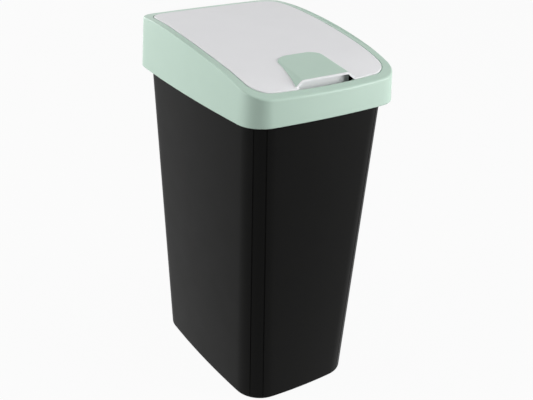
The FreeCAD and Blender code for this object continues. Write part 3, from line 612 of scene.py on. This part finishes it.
land_edge = ring(bm, FLAP, REBATE_INSET, 0)
ledge_outer = ring(bm, FLAP, REBATE_INSET, 1)
ledge_inner = ring(bm, FLAP, THROAT_INSET, 1)
collar_inner = ring(bm, FLAP, THROAT_INSET, COLLAR_FOOT)
collar_outer = ring(bm, FLAP, THROAT_INSET - RISER_WALL, COLLAR_FOOT)
under_inner = ring(bm, FLAP, THROAT_INSET - RISER_WALL, 2)
under_outer = ring(bm, FLAP, REBATE_INSET - RISER_WALL, 2)
riser_top = ring(bm, FLAP, REBATE_INSET - RISER_WALL, 3)
inner_foot = ring(bm, SKIRT, FRAME_WALL, SKIRT_FOOT)
inner_top = ring(bm, SKIRT, FRAME_WALL + SKIRT_INSET, SKIRT_TOP)
slide_up(inner_foot, inner_top, -FRAME_WALL)
set_on_arch(0, land_edge)
set_on_arch(-FRAME_WALL, riser_top)
set_on_arch(-LEDGE_DROP, ledge_outer, ledge_inner)
set_on_arch(-LEDGE_DROP - LEDGE_THICKNESS, under_inner, under_outer)

bmesh.ops.delete(bm, geom=crest, context="VERTS")
bridge(bm, [foot_ring, *roll, land_edge, ledge_outer, ledge_inner, collar_inner, collar_outer,
            under_inner, under_outer, riser_top, inner_top, inner_foot], closed=True)
skirt_rim, land_rim = edges_of(foot_ring), edges_of(land_edge)
collar_rims = edges_of(inner_foot, collar_inner, collar_outer)
soften(bm, skirt_rim, SKIRT_ROUNDING, WIDE_SEGMENTS)
soften(bm, collar_rims, COLLAR_ROUNDING, NARROW_SEGMENTS)
soften(bm, land_rim, LAND_ROUNDING, NARROW_SEGMENTS)

# %% [markdown]
# The ledge drops in two places: into a chamber at the back, where the flap's tail swings
# down, and into a shallow relief for the fingertips at the front. Two cuts close together
# at each step give the wall between the two levels.

# %% Drop the ledge
STEP_SLIT = 0.15
LEDGE_HALF_WIDTH, LEDGE_HALF_DEPTH, LEDGE_LOWEST = 111.5, 152.5, 460.0
ON_LEVEL = 0.06

steps = [("y", STOP_Y), ("y", STOP_Y - STOP_THICKNESS)]
steps += [("x", side * (RELIEF_HALF + wall)) for side in (-1, 1) for wall in (0, RISER_WALL)]
for axis, place in steps:
    score(bm, axis, place - STEP_SLIT)
    score(bm, axis, place + STEP_SLIT)
for v in bm.verts:
    x, y = abs(v.co.x), abs(v.co.y - FLAP_SHIFT)
    inside = x < LEDGE_HALF_WIDTH and y < LEDGE_HALF_DEPTH
    for margin in (0, 1):
        level = crown(v.co.y) - LEDGE_DROP - margin * LEDGE_THICKNESS
        floor_level = step_down(v.co.x, v.co.y, margin)
        on_ledge = abs(v.co.z - level) < ON_LEVEL and v.co.z > LEDGE_LOWEST
        if inside and on_ledge and floor_level is not None:
            v.co.z = floor_level
frame_obj = as_object("lid_frame_moulding", bm)

# %% [markdown]
# Under the lid the frame carries the hinge: a round boss on each side with a blind bore
# for the pin, and a block below it that stops the flap when it stands open. Ribs under the
# land stand on the bucket's rim.

# %% Fit out the lid frame
RISER_FACE, BOSS_FACE, BOSS_RADIUS = 105.4, 101.4, 4.8
BORE_RADIUS, BORE_DEPTH, PASS = 2.58, 5.2, 1.0
STOP_WIDTH, STOP_TOP = 9.0, HINGE_Z - 8.0
RIB_HALF, RIB_ROOM = 1.0, 2.0
RIB_SPAN, RIB_LENGTH, CORE_PASS = 125, 170, 20
SIDE_RIBS = (-102.3, -39.6, 23.1, 82.5)
END_RIBS = (-60.9, 0.0, 60.9)


def rib_room():
    """The space between the skirt and the arch that ribs may fill."""
    bm = bmesh.new()
    low = ring(bm, SKIRT, RIB_ROOM, SKIRT_FOOT)
    high = ring(bm, SKIRT, RIB_ROOM + SKIRT_INSET, SKIRT_TOP)
    slide_up(low, high, -RIB_ROOM)
    bridge(bm, [low, high], apart=0)
    cap(bm, low, high)
    slice_along(bm, -HALF_DEPTH, HALF_DEPTH)
    for v in bm.verts:
        if v.co.z > RIM_TOP:
            v.co.z = crown(v.co.y) - RIB_ROOM
    return as_object("rib_room", bm)


def core():
    """A column through the middle that ribs leave free."""
    bm = bmesh.new()
    ends = [ring(bm, FLAP, REBATE_INSET - RISER_WALL / 2, height)
            for height in (SKIRT_FOOT - CORE_PASS, SKIRT_TOP + CORE_PASS)]
    bridge(bm, ends, apart=0)
    cap(bm, *ends)
    return as_object("core", bm)


fittings = []
for y in SIDE_RIBS:
    fittings.append(block((-RIB_SPAN, y - RIB_HALF, RIM_TOP), (RIB_SPAN, y + RIB_HALF, SKIRT_TOP)))
for x in END_RIBS:
    fittings.append(block((x - RIB_HALF, -RIB_LENGTH, RIM_TOP),
                          (x + RIB_HALF, RIB_LENGTH, SKIRT_TOP)))
for rib in fittings:
    combine(rib, rib_room(), "INTERSECT")
    cut(rib, core())
in_riser = RISER_FACE + RISER_WALL / 2
for side in (-1, 1):
    join(frame_obj, rod(side * BOSS_FACE, BOSS_RADIUS, side * (in_riser - BOSS_FACE)))
    cut(frame_obj, rod(side * (BOSS_FACE - PASS), BORE_RADIUS, side * (BORE_DEPTH + PASS)))
    low, high = sorted((side * (RISER_FACE - STOP_WIDTH), side * in_riser))
    fittings.append(block((low, STOP_Y - STOP_THICKNESS, CHAMBER_FLOOR - RISER_WALL / 2),
                          (high, STOP_Y, STOP_TOP)))
gather(frame_obj, *fittings)
finish_piece(frame_obj, "lid_frame", MINT, "frame_plastic", "lid_frame")

# %% [markdown]
# ## Flap
#
# A white panel that follows the arch, with a turned-down rim. At its front a ramp rises
# out of it with sloping flanks. The ramp is hollow and open at the front, so fingertips
# reach under its lip, and a wall closes the pocket behind them. Two ears carry the hinge
# pins, and ribs stiffen the panel.

# %% Sizes of the flap
FLAP_PROUD, FLAP_THICKNESS, FLAP_RIM, FLAP_DROP = 0.5, 2.2, 2.0, 2.2
TOP_ROUNDING, FLAP_RIM_ROUNDING = 0.8, 0.3
SEAM_CUTS = (-56, -52, 52, 56)
LIP_Y, LIP_HALF, LIP_BAND, LIP_RISE = -148.0, 36.0, 1.6, 8.51
LIP_Z = crown(LIP_Y) + LIP_RISE
RAMP, SPREAD, FLANK = math.radians(8.55), math.radians(1.7), math.radians(40)
GRIP_ROUNDING, GRIP_WALL, GRIP_BASE = 6.0, 1.3, LIP_Z - 28.0
GRIP_PASS, ROUNDING_STEPS = 6, 8
ROOM_HALF, ROOM_FRONT, ROOM_BACK, ROOM_FLOOR = 90, -160, -60, -60
COVER_THICKNESS, COVER_CLEARANCE, COVER_BACK = 1.2, 0.12, -79.0
POCKET_Y, POCKET_HALF, POCKET_DEPTH = -140.0, 42.0, 22.0
POCKET_TOP, POCKET_ROUNDING, POCKET_SEGMENTS = 8.0, 5.0, 8
RIB_LOW, RIB_HIGH, FLAP_RIB_HALF = FLAP_PROUD - FLAP_THICKNESS - 4.0, -0.2, 0.8
FLAP_RIBS, RIB_START = (-48, 48), POCKET_Y + 2
EAR_FACE, EAR_THICKNESS, EAR_RADIUS, EAR_TOP, EAR_LAP = 100.9, 2.4, 5.0, 14, 1
HEEL_REACH, HEEL_SPARE, HEEL_TURN = 13.0, 4, math.radians(10)
HEEL_LOW, HEEL_HIGH = HINGE_Z - 12, HINGE_Z + 20
PIN_RADIUS, PIN_END, PIN_SUNK = 2.5, 106.0, 1
# The room over the panel at the ears, with heights counted from the arch.
OVER_EARS = (-120, 90, RIB_HIGH), (120, 130, 30)


def grip_section(bm, y, depth):
    """Draw the ramp's section at a place, moved in by a depth."""
    forward = LIP_Y - y
    top = LIP_Z - forward * math.tan(RAMP) - depth
    half = LIP_HALF + forward * math.tan(SPREAD) - depth * math.tan(FLANK / 2)
    radius = GRIP_ROUNDING - depth
    shoulder = half - radius * math.tan(FLANK / 2)
    foot = bm.verts.new((half + (top - GRIP_BASE) / math.tan(FLANK), y, GRIP_BASE))
    bend = bm.verts.new((shoulder + radius * math.sin(FLANK), y,
                         top - radius * (1 - math.cos(FLANK))))
    before = len(bm.verts)
    bmesh.ops.spin(bm, geom=[bend], cent=(shoulder, y, top - radius), axis=(0, -1, 0),
                   angle=FLANK, steps=ROUNDING_STEPS)
    bm.verts.ensure_lookup_table()
    drawn = [foot, bend, *bm.verts[before:]]
    drawn += [bm.verts.new((-v.co.x, y, v.co.z)) for v in reversed(drawn)]
    for first, second in zip(drawn, drawn[1:] + drawn[:1]):
        if not bm.edges.get((first, second)):
            bm.edges.new((first, second))
    return drawn


def grip_body(front, depth, back=COVER_BACK + GRIP_PASS):
    """The ramp as a solid between two places, moved in by a depth."""
    bm = bmesh.new()
    ends = [grip_section(bm, y, depth) for y in (front, back)]
    bridge(bm, ends, apart=0)
    cap(bm, *ends)
    return as_object("grip_body", bm)


def under_grip(top):
    """The room at the grip up to a height that is counted from the arch."""
    return arched_block((-ROOM_HALF, ROOM_FRONT, ROOM_FLOOR), (ROOM_HALF, ROOM_BACK, top))


# %% [markdown]
# The panel is drawn flat and bent to the arch. Lengthwise cuts beside the grip keep the
# grip's seam from bending the shading of the panel.

# %% Draw the panel
bm = bmesh.new()
rings = [
    ring(bm, FLAP, 0, FLAP_PROUD),
    ring(bm, FLAP, 0, -FLAP_DROP),
    ring(bm, FLAP, FLAP_RIM, -FLAP_DROP),
    ring(bm, FLAP, FLAP_RIM, FLAP_PROUD - FLAP_THICKNESS),
]
bridge(bm, rings)
cap(bm, rings[0], rings[-1])
top_edges, rim_edges = edges_of(rings[0]), edges_of(rings[1], rings[2])
soften(bm, top_edges, TOP_ROUNDING, NARROW_SEGMENTS)
soften(bm, rim_edges, FLAP_RIM_ROUNDING, NARROW_SEGMENTS)
slice_along(bm, FLAP_SHIFT - FLAP_HALF_DEPTH, FLAP_SHIFT + FLAP_HALF_DEPTH)
for x in SEAM_CUTS:
    score(bm, "x", x)
for v in bm.verts:
    v.co.z += crown(v.co.y)
flap = as_object("flap_moulding", bm)

# %% Raise the grip and hollow it
raised = join(grip_body(LIP_Y, COVER_THICKNESS), grip_body(LIP_Y, 0, LIP_Y + LIP_BAND))
join(flap, cut(raised, under_grip(-FLAP_DROP)))
cut(flap, grip_body(LIP_Y - GRIP_PASS, COVER_THICKNESS + GRIP_WALL))

wall = cube((-POCKET_HALF, POCKET_Y, LIP_Z - POCKET_DEPTH),
            (POCKET_HALF, POCKET_Y + GRIP_WALL, LIP_Z + POCKET_TOP))
lower = side_edges(wall, lambda place: place.z < LIP_Z)
soften(wall, lower, POCKET_ROUNDING, POCKET_SEGMENTS)
wall = as_object("pocket_wall", wall)
combine(wall, grip_body(LIP_Y - GRIP_PASS, COVER_THICKNESS + GRIP_WALL / 2), "INTERSECT")
join(flap, wall)

# %% [markdown]
# Below the panel are a rib across it at the hinge, two ribs along it and the two ears. A
# heel on each ear meets the frame's stop when the flap is fully open.

# %% Fit out the flap
fittings = [arched_block((-EAR_FACE, HINGE_Y - FLAP_RIB_HALF, RIB_LOW),
                         (EAR_FACE, HINGE_Y + FLAP_RIB_HALF, RIB_HIGH))]
for x in FLAP_RIBS:
    fittings.append(arched_block((x - FLAP_RIB_HALF, RIB_START, RIB_LOW),
                                 (x + FLAP_RIB_HALF, HINGE_Y, RIB_HIGH)))
for side in (-1, 1):
    inner = side * (EAR_FACE - EAR_THICKNESS)
    low, high = sorted((inner, side * EAR_FACE))
    ear = rod(inner, EAR_RADIUS, side * EAR_THICKNESS)
    heel = cube((low, -HEEL_REACH, -EAR_RADIUS), (high, HEEL_REACH + HEEL_SPARE, EAR_TOP))
    turn = Matrix.Rotation(HEEL_TURN, 3, "X")
    bmesh.ops.rotate(heel, cent=(0, 0, 0), matrix=turn, verts=heel.verts)
    bmesh.ops.translate(heel, vec=(0, HINGE_Y, HINGE_Z), verts=heel.verts)
    heel = as_object("heel", heel)
    room = block((low - EAR_LAP, HINGE_Y, HEEL_LOW),
                 (high + EAR_LAP, HINGE_Y + HEEL_REACH, HEEL_HIGH))
    combine(heel, room, "INTERSECT")
    front = block((low, HINGE_Y - EAR_RADIUS, HINGE_Z),
                  (high, HINGE_Y + EAR_LAP, HINGE_Z + EAR_TOP))
    cut(join(ear, heel, front), arched_block(*OVER_EARS))
    pin_length = PIN_END - abs(inner) - PIN_SUNK
    fittings += [ear, rod(inner + side * PIN_SUNK, PIN_RADIUS, side * pin_length)]
gather(flap, *fittings)
finish_piece(flap, "flap", WHITE, "flap_plastic", "flap")

# %% [markdown]
# ## Grip cover
#
# A thin mint skin that snaps over the ramp. Its sides follow the ramp and its plan narrows
# to round back corners. A hair line of clearance separates it from the white plastic.

# %% Draw the grip cover
COVER_FRONT = LIP_Y + LIP_BAND + COVER_CLEARANCE
COVER_HALF, COVER_TAPER = 50, math.radians(14)
COVER_CORNER, COVER_SEGMENTS = 14.0, 16
BLANK_LOW, BLANK_HIGH = 440, 530
AT_END = 0.01


def at_back(place):
    """Whether a corner of the blank is at its back end."""
    return abs(place.y - COVER_BACK) < AT_END


cover = grip_body(LIP_Y, 0)
blank = cube((-COVER_HALF, COVER_FRONT, BLANK_LOW), (COVER_HALF, COVER_BACK, BLANK_HIGH))
narrowing = (COVER_BACK - COVER_FRONT) * math.tan(COVER_TAPER) / COVER_HALF
for v in blank.verts:
    if at_back(v.co):
        v.co.x *= 1 - narrowing
corners = side_edges(blank, at_back)
soften(blank, corners, COVER_CORNER * math.tan((math.pi / 2 + COVER_TAPER) / 2), COVER_SEGMENTS)
combine(cover, as_object("cover_blank", blank), "INTERSECT")
cut(cover, grip_body(LIP_Y - GRIP_PASS, COVER_THICKNESS - COVER_CLEARANCE),
    under_grip(FLAP_PROUD + COVER_CLEARANCE))
cover.name = "grip_cover_moulding"
finish_piece(cover, "flap", MINT, "cover_plastic", "grip_cover")

# %% [markdown]
# ## Floor, lamps and sky
#
# The object stands on a grey floor that takes its shadow. The camera and the reflections
# see floor and sky white, as in the photograph, while the light that they give to the
# object stays low. Two broad lamps at the sides, one over the lid and one behind do the
# lighting, which leaves the near corner of the skirt dark.

# %% Floor and sky
FLOOR_SIZE, FLOOR_GREY, GLOW_SHARE = 60, "A8A8A8", 0.95
SKY_GIVEN, SKY_SEEN = 0.12, 1.0
PURE_WHITE = (1, 1, 1, 1)


def larger(tree, first, second):
    """The larger one of two outputs."""
    return add(tree, "ShaderNodeMath", {0: first, 1: second}, operation="MAXIMUM").outputs[0]


def is_seen(tree):
    """1 for the rays that show a backdrop itself, 0 for those that carry its light on."""
    path = add(tree, "ShaderNodeLightPath").outputs
    seen = larger(tree, path["Is Camera Ray"], path["Is Glossy Ray"])
    return larger(tree, seen, path["Is Transmission Ray"])


bpy.ops.mesh.primitive_plane_add(size=FLOOR_SIZE)
floor = bpy.context.object
floor.name = "floor"
material = bpy.data.materials.new("pale_floor")
tree = emptied_tree(material)
share = add(tree, "ShaderNodeMath", {0: is_seen(tree), 1: GLOW_SHARE}, operation="MULTIPLY")
plain = add(tree, "ShaderNodeBsdfDiffuse", {"Color": linear(FLOOR_GREY)})
glow = add(tree, "ShaderNodeEmission", {"Color": PURE_WHITE, "Strength": 1.0})
mixed = add(tree, "ShaderNodeMixShader", {
    0: share.outputs[0],
    1: plain.outputs[0],
    2: glow.outputs[0],
})
add(tree, "ShaderNodeOutputMaterial", {"Surface": mixed.outputs[0]})
floor.data.materials.append(material)

bpy.context.scene.view_settings.view_transform = "Standard"
world = bpy.data.worlds.new("studio")
bpy.context.scene.world = world
tree = emptied_tree(world)
strength = add(tree, "ShaderNodeMapRange", {
    "Value": is_seen(tree),
    "To Min": SKY_GIVEN,
    "To Max": SKY_SEEN,
})
sky = add(tree, "ShaderNodeBackground", {
    "Color": PURE_WHITE,
    "Strength": strength.outputs["Result"],
})
add(tree, "ShaderNodeOutputWorld", {"Surface": sky.outputs[0]})

# %% Lamps
BIN_MIDDLE = Vector((0, 0, 0.25))


def softbox(name, azimuth, elevation, distance, width, height, power):
    """A large soft lamp that faces the middle of the bin."""
    lamp = bpy.data.lights.new(name, "AREA")
    lamp.shape = "RECTANGLE"
    lamp.size, lamp.size_y = width, height
    lamp.energy = power
    obj = bpy.data.objects.new(name, lamp)
    way = direction(math.radians(azimuth), math.radians(elevation))
    obj.location = BIN_MIDDLE + way * distance
    obj.rotation_euler = way.to_track_quat("Z", "Y").to_euler()
    bpy.context.scene.collection.objects.link(obj)
    print(name, "at", [round(value, 2) for value in obj.location], power, "W")


softbox("left_softbox", -109, 16, 2.2, 1.4, 1.4, 31.5)
softbox("right_softbox", 47, 14, 3.4, 1.9, 2.4, 124)
softbox("top_softbox", -90, 78, 2.2, 2.0, 2.0, 13)
softbox("back_softbox", -172, 8, 3.4, 1.9, 2.4, 42)
